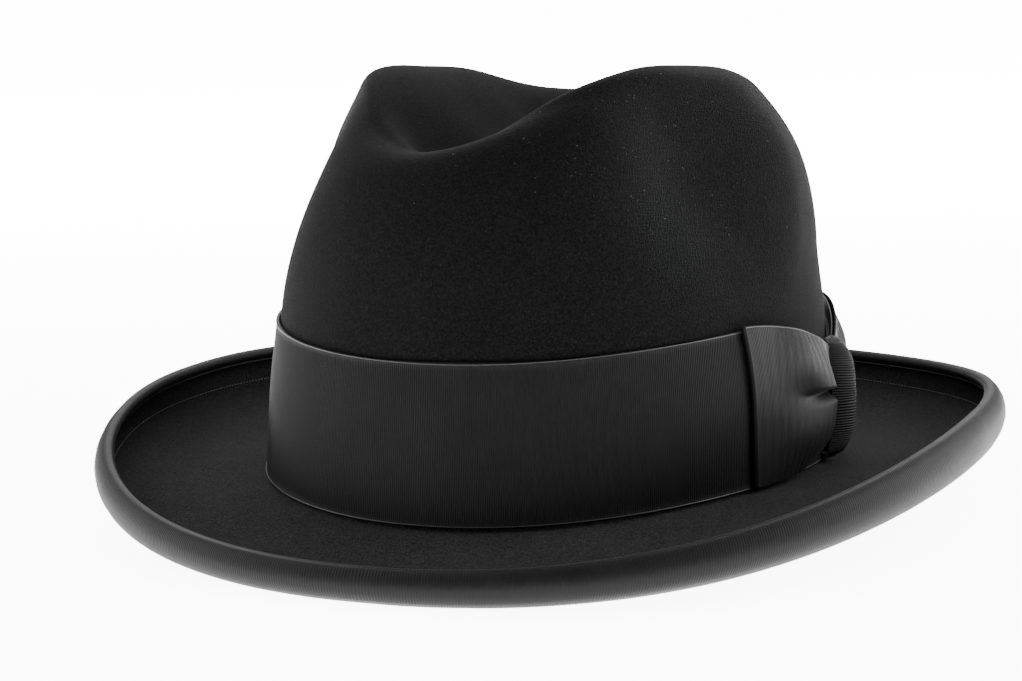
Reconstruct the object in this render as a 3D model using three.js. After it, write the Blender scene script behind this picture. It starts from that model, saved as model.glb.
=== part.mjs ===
// Homburg hat of fur felt: one blocked hood, a wide ribbed band, a bound curled brim and a flat three-piece bow.
// Millimetres, +Z up. The front of the hat faces -Y and the wearer's left, where the bow sits, is +X.
// Shapes are worked out in the hat's own frame, where the band's lower edge is level, and then tipped on to
// the surface that the hat rests on: the front of the brim touches it, and so does the back of the head opening.
import * as THREE from "three";
import { mergeVertices } from "three/addons/utils/BufferGeometryUtils.js";

// Felt hood
const feltWall = 2.0;
const crownHalfLength = 101.8;
const crownHalfWidth = 85.9;
const crownHeight = 130.9;
const crownSquareness = 2.07;
const crownTopSlope = -1.43;
const crownTopBow = 2.13;
const flareOut = 3.2;
const flareHeight = 48.0;
const flareUp = 26.0;
const flarePlace = 112.0;
const flareReach = 55.0;
const saddleDip = 3.6;
const breakRadius = 1.2;

// Centre crease
const creaseDepth = 38.7;
const creaseHalfWidth = 50.8;
const creaseFront = -97.0;
const creaseFrontFall = 57.0;
const creaseBack = 87.4;
const creaseBackRise = 56.0;
const creaseDriftFront = -9.0;
const creaseDriftBack = 6.2;
const bowlDepth = 7.2;
const bowlPlace = -45.8;
const bowlHalfLength = 44.9;
const bowlHalfWidth = 35.4;
const dentFloor = 50.0;
const dentFull = 110.0;

// Front pinches, one on each side of the crown
const pinchDepth = 13.9;
const pinchPlace = -38.6;
const pinchHeight = 96.0;
const pinchFrontReach = 47.0;
const pinchBackReach = 47.1;
const pinchUpReach = 52.8;
const pinchDownReach = 47.9;
const pinchInnerEdge = 6.0;
const pinchOuterEdge = 40.0;

// Brim, measured from the crown's base to the middle of the felt's edge
const brimFront = 38.9;
const brimBack = 51.1;
const brimSide = 52.4;
const rimSquareness = 2.14;
const rimQuarterWave = -0.0037;
const rimFrontHeight = -10.0;
const rimSideHeight = 21.3;
const rimBackHeight = 21.7;
const rimThirdWave = -0.5;
const rimFourthWave = 0.8;

// Brim slopes in degrees, where it leaves the crown and where its edge begins to curl
const leaveFront = -18;
const leaveSide = 1;
const leaveBack = 7;
const arriveFront = -14;
const arriveSide = 26;
const arriveBack = 25;

// Curl of the brim's edge: inner radius, and the angle at which the felt ends
const curlFront = 3.0;
const curlSide = 6.3;
const curlBack = 4.2;
const curlEndFront = 48;
const curlEndSide = 52;
const curlEndBack = 52;

// Ribbons
const ribbonGap = 0.3;
const bandThickness = 1.0;
const bandWidth = 47.2;
const bandDip = 14.0;
const bandDipReach = 58.0;
const bindingThickness = 0.7;
const bindingWidth = 14.4;
const bindingInnerLeg = 1.2;

// Bow on the wearer's left, flat against the band
const bowPlace = 101.5;
const knotWidth = 13.5;
const knotHeight = 35.5;
const knotDrop = 4.0;
const knotRise = 11.8;
const knotEnd = 0.06;
const knotCamber = 0.36;
const knotWaist = 0.1;
const frontLeafLength = 60.0;
const frontLeafCock = 0.0;
const backLeafLength = 46.0;
const backLeafCock = 4.0;
const leafOverhang = 1.5;
const leafThickness = 2.4;
const leafPuff = 6.4;
const leafPinched = 0.68;
const leafGathered = 0.88;
const bowClearance = 0.4;

// How it rests
const restFlat = 0.4;
const tipRounds = 6;

const segments = 64;

const deg = Math.PI / 180;
const clamp01 = (v) => Math.min(1, Math.max(0, v));
const smooth = (from, to, v) => {
  const t = clamp01((v - from) / (to - from));
  return t * t * (3 - 2 * t);
};
const bell = (r) => (1 + Math.cos(Math.PI * clamp01(r))) / 2;
const power = (v, e) => Math.sign(v) * Math.abs(v) ** e;

// The crown block before its dents. Each row is a level section: its height as a share of the crown's
// height, then how far it reaches to the front, the back and the sides as shares of the base's half sizes.
const crownRows = [
  { height: 0.0, front: 1.0, back: 1.0, side: 1.0 },
  { height: 0.2, front: 0.974, back: 0.994, side: 0.986 },
  { height: 0.38, front: 0.954, back: 0.985, side: 0.957 },
  { height: 0.58, front: 0.915, back: 0.985, side: 0.959 },
  { height: 0.76, front: 0.824, back: 0.882, side: 0.911 },
  { height: 0.89, front: 0.705, back: 0.796, side: 0.788 },
  { height: 0.965, front: 0.584, back: 0.577, side: 0.653 },
  { height: 1.0, front: 0.26, back: 0.3, side: 0.3 },
  { height: 1.0, front: 0.0, back: 0.0, side: 0.0 },
];
const lastRow = crownRows.length - 1;

// A smooth value between the rows of a column, at a place counted in rows.
function between(column, place) {
  const i = Math.min(lastRow - 1, Math.floor(place));
  const t = place - i;
  const value = (k) => {
    if (k < 0) return 2 * crownRows[0][column] - crownRows[1][column];
    if (k > lastRow) return 2 * crownRows[lastRow][column] - crownRows[lastRow - 1][column];
    return crownRows[k][column];
  };
  const [a, b, c, d] = [value(i - 1), value(i), value(i + 1), value(i + 2)];
  return 0.5 * (2 * b + (c - a) * t + (2 * a - 5 * b + 4 * c - d) * t * t + (3 * b - a - 3 * c + d) * t ** 3);
}

// Angles run from the front of the hat towards the wearer's left.
const baseHeight = (angle) => -saddleDip * Math.cos(2 * angle);

// The wall bulges a little above the band behind the wearer's left temple.
function wallFlare(height, angle) {
  const aside = Math.abs(angle - flarePlace * deg) / (flareReach * deg);
  return flareOut * bell(Math.abs(height - flareHeight) / flareUp) * bell(aside);
}

function crownBlock(place, angle) {
  const co = Math.cos(angle);
  const e = 2 / crownSquareness;
  const along = crownHalfLength * between(co > 0 ? "front" : "back", place);
  const x = crownHalfWidth * between("side", place) * power(Math.sin(angle), e);
  const y = -along * power(co, e);
  const share = between("height", place);
  const bend = y / (crownHalfLength / 2);
  const top = crownHeight + crownTopSlope * bend + crownTopBow * bend * bend;
  const z = baseHeight(angle) * (1 - smooth(0, 0.55, share)) + share * top;
  return new THREE.Vector3(x + wallFlare(z, angle), y, z);
}

function dented(p) {
  const fore = p.y - pinchPlace;
  const over = p.z - pinchHeight;
  const reach = Math.hypot(
    fore / (fore < 0 ? pinchFrontReach : pinchBackReach),
    over / (over < 0 ? pinchDownReach : pinchUpReach),
  );
  const push = pinchDepth * bell(reach) * smooth(pinchInnerEdge, pinchOuterEdge, Math.abs(p.x));
  const x = p.x - Math.sign(p.x) * push;
  const drift = THREE.MathUtils.lerp(
    creaseDriftFront,
    creaseDriftBack,
    clamp01((p.y - creaseFront) / (creaseBack - creaseFront)),
  );
  const open = smooth(creaseFront, creaseFront + creaseFrontFall, p.y);
  const close = 1 - smooth(creaseBack - creaseBackRise, creaseBack, p.y);
  const crease = creaseDepth * open * close * bell(Math.abs(x - drift) / creaseHalfWidth);
  const bowl = bowlDepth * bell(Math.hypot((p.y - bowlPlace) / bowlHalfLength, (x - drift) / bowlHalfWidth));
  return new THREE.Vector3(x, p.y, p.z - (crease + bowl) * smooth(dentFloor, dentFull, p.z));
}

// A value that is stated at the front, the side and the back of the hat, and runs smoothly between them.
function around(angle, front, side, back) {
  const co = Math.cos(angle);
  return side + ((front + back) / 2 - side) * co * co + ((front - back) / 2) * co;
}

// Section of the brim at one angle, as distances out from the crown's base and up from it.
function brimSection(angle) {
  const co = Math.cos(angle);
  const base = crownBlock(0, angle);
  const e = 2 / rimSquareness;
  const wave = 1 + rimQuarterWave * Math.cos(4 * angle);
  const length = crownHalfLength + (co > 0 ? brimFront : brimBack);
  const rimX = (crownHalfWidth + brimSide) * power(Math.sin(angle), e) * wave;
  const rimY = -length * power(co, e) * wave;
  const rimZ =
    around(angle, rimFrontHeight, rimSideHeight, rimBackHeight) +
    rimThirdWave * (Math.cos(3 * angle) - co) +
    rimFourthWave * (Math.cos(4 * angle) - 1);
  const direction = new THREE.Vector3(rimX - base.x, rimY - base.y, 0);
  const width = direction.length();
  direction.divideScalar(width);
  const radius = around(angle, curlFront, curlSide, curlBack);
  const end = around(angle, curlEndFront, curlEndSide, curlEndBack) * deg;
  const middle = radius + feltWall / 2;
  return {
    base,
    direction,
    curl: { out: width - middle * Math.cos(end), up: rimZ - base.z - middle * Math.sin(end), radius, end },
    leave: around(angle, leaveFront, leaveSide, leaveBack) * deg,
    arrive: around(angle, arriveFront, arriveSide, arriveBack) * deg,
  };
}

const inSection = (section, out, up) =>
  section.base
    .clone()
    .addScaledVector(section.direction, out)
    .add(new THREE.Vector3(0, 0, up));

// A point round the curl's centre: the felt's inner face is at the curl's radius.
function onCurl(section, beyond, angle) {
  const radius = section.curl.radius + beyond;
  return inSection(section, section.curl.out + radius * Math.cos(angle), section.curl.up + radius * Math.sin(angle));
}

// The brim between the break and the curl, as a curve that keeps both of their slopes.
function onBrim(section, share) {
  const low = (angle) => angle - Math.PI / 2;
  const from = {
    out: breakRadius + breakRadius * Math.cos(low(section.leave)),
    up: breakRadius * Math.sin(low(section.leave)),
  };
  const to = {
    out: section.curl.out + section.curl.radius * Math.cos(low(section.arrive)),
    up: section.curl.up + section.curl.radius * Math.sin(low(section.arrive)),
  };
  const span = Math.hypot(to.out - from.out, to.up - from.up);
  const t = share;
  const hermite = (a, b, slopeA, slopeB) =>
    (2 * t ** 3 - 3 * t ** 2 + 1) * a +
    (t ** 3 - 2 * t ** 2 + t) * span * slopeA +
    (3 * t ** 2 - 2 * t ** 3) * b +
    (t ** 3 - t ** 2) * span * slopeB;
  return inSection(
    section,
    hermite(from.out, to.out, Math.cos(section.leave), Math.cos(section.arrive)),
    hermite(from.up, to.up, Math.sin(section.leave), Math.sin(section.arrive)),
  );
}

// The outer face of the hood from the crown's centre, at 0, past the break and the brim to the felt's edge.
const crownEnd = lastRow;
const breakEnd = crownEnd + 1;
const brimEnd = breakEnd + 1;
const edgeEnd = brimEnd + 1;

function outerFace(place, angle) {
  if (place <= crownEnd) return dented(crownBlock(crownEnd - place, angle));
  const section = brimSection(angle);
  if (place <= breakEnd) {
    const a = THREE.MathUtils.lerp(-Math.PI, section.leave - Math.PI / 2, place - crownEnd);
    return inSection(section, breakRadius + breakRadius * Math.cos(a), breakRadius * Math.sin(a));
  }
  if (place <= brimEnd) return onBrim(section, place - breakEnd);
  return onCurl(section, 0, THREE.MathUtils.lerp(section.arrive - Math.PI / 2, section.curl.end, place - brimEnd));
}

// The face's outward direction: up on the brim, and away from the head on the crown.
const nudge = 1e-3;
function outward(place, angle) {
  const at = Math.min(edgeEnd - nudge, Math.max(nudge, place));
  const down = outerFace(at + nudge, angle).sub(outerFace(at - nudge, angle));
  const round = outerFace(at, angle + nudge).sub(outerFace(at, angle - nudge));
  return round.cross(down).normalize().negate();
}

function offsetFace(place, angle, distance) {
  if (place === 0) return outerFace(0, angle).add(new THREE.Vector3(0, 0, distance));
  return outerFace(place, angle).addScaledVector(outward(place, angle), distance);
}

// The place on the crown's wall that lies a given height above the base, found by halving.
function wallPlace(angle, rise) {
  let low = 0;
  let high = 4;
  const base = crownBlock(0, angle).z;
  for (let i = 0; i < 30; i++) {
    const middle = (low + high) / 2;
    if (crownBlock(middle, angle).z - base < rise) low = middle;
    else high = middle;
  }
  return crownEnd - low;
}

// A lathe of one closed profile, whose points are then placed by a function of the point and the angle.
function lathed(count, closed, placePoint) {
  const profile = [];
  for (let i = 0; i < count; i++) {
    const turn = (i / count) * Math.PI * 2;
    profile.push(new THREE.Vector2(2 + Math.cos(turn), Math.sin(turn)));
  }
  if (closed) profile.push(profile[0].clone());
  const geometry = new THREE.LatheGeometry(profile, segments);
  const position = geometry.getAttribute("position");
  const rows = profile.length;
  for (let s = 0; s <= segments; s++) {
    const angle = (-(s % segments) / segments) * Math.PI * 2;
    for (let i = 0; i < rows; i++) {
      const p = placePoint(i % count, angle);
      position.setXYZ(s * rows + i, p.x, p.y, p.z);
    }
  }
  return plain(geometry);
}

// Only positions are kept, and vertices that share a place become one.
function plain(geometry) {
  geometry.deleteAttribute("normal");
  geometry.deleteAttribute("uv");
  return mergeVertices(geometry, 1e-4);
}

const steps = (from, to, count) => Array.from({ length: count }, (_, i) => from + ((to - from) * i) / (count - 1));

// At the side an angle covers as much of the band as it does on a circle of the crown's half length.
const bowRadius = crownHalfLength + ribbonGap + bandThickness;

// The band's upper edge, which is drawn down behind the bow.
function bandTop(angle) {
  const along = Math.abs(angle - bowPlace * deg) * bowRadius;
  return bandWidth - bandDip * Math.max(0, 1 - along / bandDipReach) ** 1.5;
}

// Rows up the crown's wall that the hood and the band share, so that their faces stay parallel.
const wallRows = steps(0, 1, 5).map((share) => (angle) => wallPlace(angle, share * bandTop(angle)));

// Hood: out over the crown, down its wall, over the break, brim and curl, and back along the inside.
// Its rows over the crown lie closest together where the top turns down into the wall.
const crownStops = [0, 0.55, 1, 1.4, 1.75, 2.1, 2.45, 2.85, 3.3, 3.9, 4.6, 5.35];
const hoodStops = [
  ...crownStops.map((place) => () => place),
  ...wallRows.toReversed(),
  ...steps(crownEnd + 0.75, breakEnd, 2).map((place) => () => place),
  ...steps(breakEnd + 0.35, brimEnd, 3).map((place) => () => place),
  ...steps(brimEnd + 0.2, edgeEnd, 5).map((place) => () => place),
];

function hood() {
  const count = hoodStops.length;
  return lathed(2 * count, false, (i, angle) =>
    i < count
      ? offsetFace(hoodStops[i](angle), angle, 0)
      : offsetFace(hoodStops[2 * count - 1 - i](angle), angle, -feltWall),
  );
}

function band() {
  const count = wallRows.length;
  return lathed(2 * count, true, (i, angle) => {
    const inner = i < count;
    const row = inner ? wallRows[i] : wallRows[2 * count - 1 - i];
    return offsetFace(row(angle), angle, inner ? ribbonGap : ribbonGap + bandThickness);
  });
}

// Binding: up the outside of the curl, over the felt's edge and a little way down inside.
const bindingOutside = 7;
const bindingOver = 3;

function bindingPoint(section, index, beyond) {
  const { end, radius } = section.curl;
  if (index < bindingOutside) {
    const low = end - bindingWidth / (radius + feltWall + ribbonGap);
    const turn = THREE.MathUtils.lerp(low, end, index / (bindingOutside - 1));
    return onCurl(section, feltWall + beyond, turn);
  }
  if (index < bindingOutside + bindingOver) {
    const turn = end + (Math.PI * (index - bindingOutside + 1)) / (bindingOver + 1);
    const over = feltWall / 2 + beyond;
    const middle = onCurl(section, feltWall / 2, end);
    return middle
      .addScaledVector(section.direction, over * Math.cos(turn))
      .add(new THREE.Vector3(0, 0, over * Math.sin(turn)));
  }
  const leg = (index - bindingOutside - bindingOver) * (bindingInnerLeg / radius);
  return onCurl(section, -beyond, end - leg);
}

function binding() {
  const count = bindingOutside + bindingOver + 2;
  return lathed(2 * count, true, (i, angle) => {
    const inner = i < count;
    return bindingPoint(
      brimSection(angle),
      inner ? i : 2 * count - 1 - i,
      inner ? ribbonGap : ribbonGap + bindingThickness,
    );
  });
}

// Places on the band's outer face beside the bow: along it from the knot, up it, and out from it.
function onBand(along, rise, out) {
  const angle = bowPlace * deg + along / bowRadius;
  return offsetFace(wallPlace(angle, rise), angle, ribbonGap + bandThickness + out);
}

// A box whose grid of points is placed by a function of shares from 0 to 1 along, up and out.
function shapedBox(countAlong, countUp, countOut, placePoint) {
  const geometry = new THREE.BoxGeometry(1, 1, 1, countAlong, countUp, countOut);
  const position = geometry.getAttribute("position");
  for (let i = 0; i < position.count; i++) {
    const p = placePoint(position.getX(i) + 0.5, position.getY(i) + 0.5, position.getZ(i) + 0.5);
    position.setXYZ(i, p.x, p.y, p.z);
  }
  return plain(geometry);
}

// A leaf is a flattened loop of ribbon: full width at its free end, which may be cocked up a little,
// and gathered, lowered and raised off the band at the knot.
function leaf(side, length, cock) {
  const start = knotWidth / 2 + bowClearance;
  return shapedBox(8, 6, 1, (share, up, out) => {
    const along = side < 0 ? 1 - share : share;
    const gather = smooth(leafGathered, 0, along);
    const kept = 1 - (1 - leafPinched) * gather;
    const middle = (bandWidth + leafOverhang) / 2 - knotDrop * gather + cock * along;
    const rise = middle + (up - 0.5) * (bandWidth + leafOverhang) * kept;
    const puff = leafPuff * gather * Math.sin(Math.PI * up);
    const lift = bowClearance + out * (leafThickness + puff);
    return onBand(side * (start + (length - start) * along), Math.max(bowClearance, rise), lift);
  });
}

// The knot is a short strap round the gathered middle of the bow, rounded over and a little waisted.
function knot() {
  return shapedBox(4, 10, 1, (along, up, out) => {
    const arch = Math.sin(Math.PI * (knotEnd + (1 - 2 * knotEnd) * up)) ** 0.5;
    const crown = 1 - knotCamber * (2 * along - 1) ** 2;
    const waist = 1 - knotWaist * Math.sin(Math.PI * up);
    const rise = bandWidth / 2 - knotDrop + (up - 0.5) * knotHeight;
    return onBand((along - 0.5) * knotWidth * waist, rise, bowClearance + out * knotRise * arch * crown);
  });
}

const felt = new THREE.MeshStandardMaterial({ color: 0x141414, roughness: 0.95, metalness: 0 });
const grosgrain = new THREE.MeshStandardMaterial({ color: 0x1c1c1d, roughness: 0.7, metalness: 0 });

const pieces = [
  ["felt_hood", hood(), felt],
  ["hat_band", band(), grosgrain],
  ["brim_binding", binding(), grosgrain],
  ["bow_front_leaf", leaf(-1, frontLeafLength, frontLeafCock), grosgrain],
  ["bow_back_leaf", leaf(1, backLeafLength, backLeafCock), grosgrain],
  ["bow_knot", knot(), grosgrain],
].map(([name, geometry, material]) => {
  const mesh = new THREE.Mesh(geometry, material);
  mesh.name = name;
  return mesh;
});

const vertices = (geometry) => {
  const position = geometry.getAttribute("position");
  return Array.from({ length: position.count }, (_, i) => new THREE.Vector3().fromBufferAttribute(position, i));
};

// The hat tips until its lowest points at the front and at the back are level.
function tipToRest(geometries) {
  const points = geometries.flatMap(vertices);
  const turn = new THREE.Matrix4();
  let tip = 0;
  for (let i = 0; i < tipRounds; i++) {
    turn.makeRotationX(tip);
    const turned = points.map((p) => p.clone().applyMatrix4(turn));
    const lowest = (half) => half.reduce((a, b) => (b.z < a.z ? b : a));
    const front = lowest(turned.filter((p) => p.y < 0));
    const back = lowest(turned.filter((p) => p.y >= 0));
    tip -= Math.atan2(back.z - front.z, back.y - front.y);
  }
  return tip;
}

const tip = tipToRest(pieces.map((piece) => piece.geometry));
for (const piece of pieces) piece.geometry.rotateX(tip);

// The origin is below the middle of the hat's outline, on the surface that it rests on.
const box = new THREE.Box3();
for (const piece of pieces) box.expandByObject(piece);
const middle = box.getCenter(new THREE.Vector3());
for (const piece of pieces) piece.geometry.translate(-middle.x, -middle.y, -box.min.z - restFlat);

// The felt and its binding give a little where they rest, so their lowest points lie flat.
for (const piece of pieces) {
  const position = piece.geometry.getAttribute("position");
  for (let i = 0; i < position.count; i++) position.setZ(i, Math.max(0, position.getZ(i)));
}

const hat = new THREE.Group();
for (const piece of pieces) hat.add(piece);

export default hat;
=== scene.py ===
import math
from types import SimpleNamespace

import bmesh
import bpy
import numpy as np
from mathutils import Matrix, Vector


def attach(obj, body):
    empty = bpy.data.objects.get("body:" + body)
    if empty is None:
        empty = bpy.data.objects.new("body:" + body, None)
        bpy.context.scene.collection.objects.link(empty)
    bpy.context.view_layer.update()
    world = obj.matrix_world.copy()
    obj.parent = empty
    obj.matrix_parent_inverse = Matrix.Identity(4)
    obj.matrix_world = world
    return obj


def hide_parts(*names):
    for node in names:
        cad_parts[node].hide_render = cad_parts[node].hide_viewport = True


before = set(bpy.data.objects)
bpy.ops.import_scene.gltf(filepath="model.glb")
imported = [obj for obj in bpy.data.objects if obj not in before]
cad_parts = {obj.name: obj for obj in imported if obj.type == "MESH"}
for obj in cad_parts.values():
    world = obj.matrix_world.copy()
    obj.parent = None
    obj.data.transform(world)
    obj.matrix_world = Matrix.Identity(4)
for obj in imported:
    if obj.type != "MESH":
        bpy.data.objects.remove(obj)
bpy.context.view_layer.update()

# Sizes are in millimetres and degrees until a piece is finished. The front of the hat faces -Y,
# and the wearer's left, where the bow sits, is +X.
MM = 0.001
DEG = math.pi / 180

# Felt hood
FELT_WALL = 2.0
CROWN_HALF_LENGTH = 101.8
CROWN_HALF_WIDTH = 85.9
CROWN_HEIGHT = 130.9
CROWN_SQUARENESS = 2.07
CROWN_TOP_SLOPE = -1.43
CROWN_TOP_BOW = 2.13
FLARE_OUT = 3.2
FLARE_HEIGHT = 48.0
FLARE_UP = 26.0
FLARE_PLACE = 112.0
FLARE_REACH = 55.0
SADDLE_DIP = 3.6
SADDLE_FADE = 0.55
BREAK_RADIUS = 1.2
UNEVEN_BROAD = 0.22
UNEVEN_FINE = 0.12

# Centre crease
CREASE_DEPTH = 38.7
CREASE_HALF_WIDTH = 50.8
CREASE_FRONT = -97.0
CREASE_FRONT_FALL = 57.0
CREASE_BACK = 87.4
CREASE_BACK_RISE = 56.0
CREASE_DRIFT_FRONT = -9.0
CREASE_DRIFT_BACK = 6.2
BOWL_DEPTH = 7.2
BOWL_PLACE = -45.8
BOWL_HALF_LENGTH = 44.9
BOWL_HALF_WIDTH = 35.4
DENT_FLOOR = 50.0
DENT_FULL = 110.0

# Front pinches
PINCH_DEPTH = 13.9
PINCH_PLACE = -38.6
PINCH_HEIGHT = 96.0
PINCH_FRONT_REACH = 47.0
PINCH_BACK_REACH = 47.1
PINCH_UP_REACH = 52.8
PINCH_DOWN_REACH = 47.9
PINCH_INNER_EDGE = 6.0
PINCH_OUTER_EDGE = 40.0

# Brim, with the slope where it leaves the crown and the slope where its curl begins
BRIM_FRONT = 38.9
BRIM_BACK = 51.1
BRIM_SIDE = 52.4
RIM_SQUARENESS = 2.14
RIM_QUARTER_WAVE = -0.0037
RIM_HEIGHTS = (-10.0, 21.3, 21.7)
RIM_THIRD_WAVE = -0.5
RIM_FOURTH_WAVE = 0.8
LEAVE = (-18.0, 1.0, 7.0)
ARRIVE = (-14.0, 26.0, 25.0)
CURL_RADII = (3.0, 6.3, 4.2)
CURL_ENDS = (48.0, 52.0, 52.0)

# Ribbons
RIBBON_GAP = 0.3
BAND_THICKNESS = 1.0
BAND_WIDTH = 47.2
BAND_DIP = 14.0
BAND_DIP_REACH = 58.0
BINDING_THICKNESS = 0.7
BINDING_WIDTH = 14.4
BINDING_INNER_LEG = 1.2
BAND_RIB = 0.70
BINDING_RIB = 0.80
RIB_STEPS = 4
RIB_RELIEF = 0.27
LEAF_RIB_RELIEF = 0.13
RIB_ROUNDNESS = 0.7
SELVEDGE_RELIEF = 0.12
BAND_WAVE = 0.18
BAND_WAVELET = 0.12
BAND_PULL = 0.1
BAND_SELVEDGE = 0.03
BAND_RIB_FADE = 0.5
BINDING_RIB_FADE = 0.6
CORD_SIDES = 6
CORD_RADIUS = 0.2
CORD_INSET = 0.3
CORD_FOOT_INSET = 0.35
CORD_LIFT = 0.05
BAND_CORD_STEPS = 1440
BINDING_CORD_STEPS = 1800

# Bow
BOW_PLACE = 101.5
BOW_RADIUS = CROWN_HALF_LENGTH + RIBBON_GAP + BAND_THICKNESS
KNOT_WIDTH = 15.0
KNOT_HEIGHT = 36.0
KNOT_DROP = 4.0
KNOT_RISE = 10.2

# How the hat rests: tipped about X, then moved so that its lowest points lie on the floor
REST_TIP = -2.8733
REST_SHIFT = (0.0, -6.499, 11.550)

# Columns: height as a share of the crown's height, then reach to the front, the back and the sides
# as shares of the base's half sizes
HEIGHT, FRONT, BACK, SIDE = range(4)
CROWN_ROWS = np.array([
    (0.000, 1.000, 1.000, 1.000),
    (0.200, 0.974, 0.994, 0.986),
    (0.380, 0.954, 0.985, 0.957),
    (0.580, 0.915, 0.985, 0.959),
    (0.760, 0.824, 0.882, 0.911),
    (0.890, 0.705, 0.796, 0.788),
    (0.965, 0.584, 0.577, 0.653),
    (1.000, 0.260, 0.300, 0.300),
    (1.000, 0.000, 0.000, 0.000),
])
LAST_ROW = len(CROWN_ROWS) - 1

# Places on the hood's outer face, from the crown's centre at 0 to the felt's edge
CROWN_END = LAST_ROW
BREAK_END = CROWN_END + 1
BRIM_END = BREAK_END + 1
EDGE_END = BRIM_END + 1


def smooth(low, high, v):
    """From 0 to 1 as a value goes from low to high, level at both ends."""
    t = np.clip((v - low) / (high - low), 0, 1)
    return t * t * (3 - 2 * t)


def bell(r):
    """From 1 in the middle down to 0 at a reach of 1."""
    return (1 + np.cos(np.pi * np.clip(r, 0, 1))) / 2


def power(v, e):
    """A power that keeps the value's sign."""
    return np.sign(v) * np.abs(v) ** e


def lerp(a, b, t):
    """From a to b as t goes from 0 to 1."""
    return a + (b - a) * t


def across(*columns):
    """Columns of numbers, side by side, as points."""
    return np.stack(np.broadcast_arrays(*columns), -1)


def between(column, place):
    """A smooth value between the crown's rows."""
    rows = CROWN_ROWS[:, column]
    rows = np.concatenate([[2 * rows[0] - rows[1]], rows, [2 * rows[-1] - rows[-2]]])
    i = np.clip(np.floor(place).astype(int), 0, LAST_ROW - 1)
    t = place - i
    a, b, c, d = (rows[i + k] for k in range(4))
    return 0.5 * (2 * b + (c - a) * t + (2 * a - 5 * b + 4 * c - d) * t**2 + (3 * b - a - 3 * c + d) * t**3)


def base_height(angle):
    """The crown's base is a saddle: low at the front and the back, and high at the sides."""
    return -SADDLE_DIP * np.cos(2 * angle)


def wall_flare(height, angle):
    """The wall bulges a little above the band behind the wearer's left temple."""
    aside = np.abs(angle / DEG - FLARE_PLACE) / FLARE_REACH
    return FLARE_OUT * bell(np.abs(height - FLARE_HEIGHT) / FLARE_UP) * bell(aside)


def crown_block(place, angle):
    """The crown before its dents, at a row's place and an angle from the front to the wearer's left."""
    co = np.cos(angle)
    e = 2 / CROWN_SQUARENESS
    along = CROWN_HALF_LENGTH * np.where(co > 0, between(FRONT, place), between(BACK, place))
    x = CROWN_HALF_WIDTH * between(SIDE, place) * power(np.sin(angle), e)
    y = -along * power(co, e)
    share = between(HEIGHT, place)
    bend = y / (CROWN_HALF_LENGTH / 2)
    top = CROWN_HEIGHT + CROWN_TOP_SLOPE * bend + CROWN_TOP_BOW * bend**2
    z = base_height(angle) * (1 - smooth(0, SADDLE_FADE, share)) + share * top
    return across(x + wall_flare(z, angle), y, z)


def dented(p):
    """The crown's centre crease, its front bowl and its two pinches."""
    x, y, z = p[..., 0], p[..., 1], p[..., 2]
    fore, over = y - PINCH_PLACE, z - PINCH_HEIGHT
    reach = np.hypot(
        fore / np.where(fore < 0, PINCH_FRONT_REACH, PINCH_BACK_REACH),
        over / np.where(over < 0, PINCH_DOWN_REACH, PINCH_UP_REACH),
    )
    x = x - np.sign(x) * PINCH_DEPTH * bell(reach) * smooth(PINCH_INNER_EDGE, PINCH_OUTER_EDGE, np.abs(x))
    length = CREASE_BACK - CREASE_FRONT
    drift = lerp(CREASE_DRIFT_FRONT, CREASE_DRIFT_BACK, np.clip((y - CREASE_FRONT) / length, 0, 1))
    start = smooth(CREASE_FRONT, CREASE_FRONT + CREASE_FRONT_FALL, y)
    end = 1 - smooth(CREASE_BACK - CREASE_BACK_RISE, CREASE_BACK, y)
    crease = CREASE_DEPTH * start * end * bell(np.abs(x - drift) / CREASE_HALF_WIDTH)
    bowl = BOWL_DEPTH * bell(np.hypot((y - BOWL_PLACE) / BOWL_HALF_LENGTH, (x - drift) / BOWL_HALF_WIDTH))
    return across(x, y, z - (crease + bowl) * smooth(DENT_FLOOR, DENT_FULL, z))


def around(angle, values):
    """A value stated at the front, the side and the back of the hat."""
    front, side, back = values
    co = np.cos(angle)
    return side + ((front + back) / 2 - side) * co**2 + (front - back) / 2 * co


def brim_section(angle):
    """The brim's section at an angle: distances out from the crown's base and up from it."""
    co = np.cos(angle)
    base = crown_block(np.zeros_like(angle), angle)
    e = 2 / RIM_SQUARENESS
    wave = 1 + RIM_QUARTER_WAVE * np.cos(4 * angle)
    length = CROWN_HALF_LENGTH + np.where(co > 0, BRIM_FRONT, BRIM_BACK)
    rim_x = (CROWN_HALF_WIDTH + BRIM_SIDE) * power(np.sin(angle), e) * wave
    rim_y = -length * power(co, e) * wave
    third = RIM_THIRD_WAVE * (np.cos(3 * angle) - co)
    rim_z = around(angle, RIM_HEIGHTS) + third + RIM_FOURTH_WAVE * (np.cos(4 * angle) - 1)
    direction = across(rim_x - base[..., 0], rim_y - base[..., 1], 0 * angle)
    width = np.linalg.norm(direction, axis=-1)
    radius = around(angle, CURL_RADII)
    end = around(angle, CURL_ENDS) * DEG
    middle = radius + FELT_WALL / 2
    return SimpleNamespace(
        base=base,
        direction=direction / width[..., None],
        out=width - middle * np.cos(end),
        up=rim_z - base[..., 2] - middle * np.sin(end),
        radius=radius,
        end=end,
        leave=around(angle, LEAVE) * DEG,
        arrive=around(angle, ARRIVE) * DEG,
    )


def in_section(section, out, up):
    """A point of the brim's section, by its distances out from the crown's base and up from it."""
    return section.base + section.direction * np.asarray(out)[..., None] + across(0 * up, 0 * up, up)


def on_curl(section, beyond, turn):
    """A point on the brim's curl, beyond the felt's upper face by a distance."""
    radius = section.radius + beyond
    return in_section(section, section.out + radius * np.cos(turn), section.up + radius * np.sin(turn))


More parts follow.
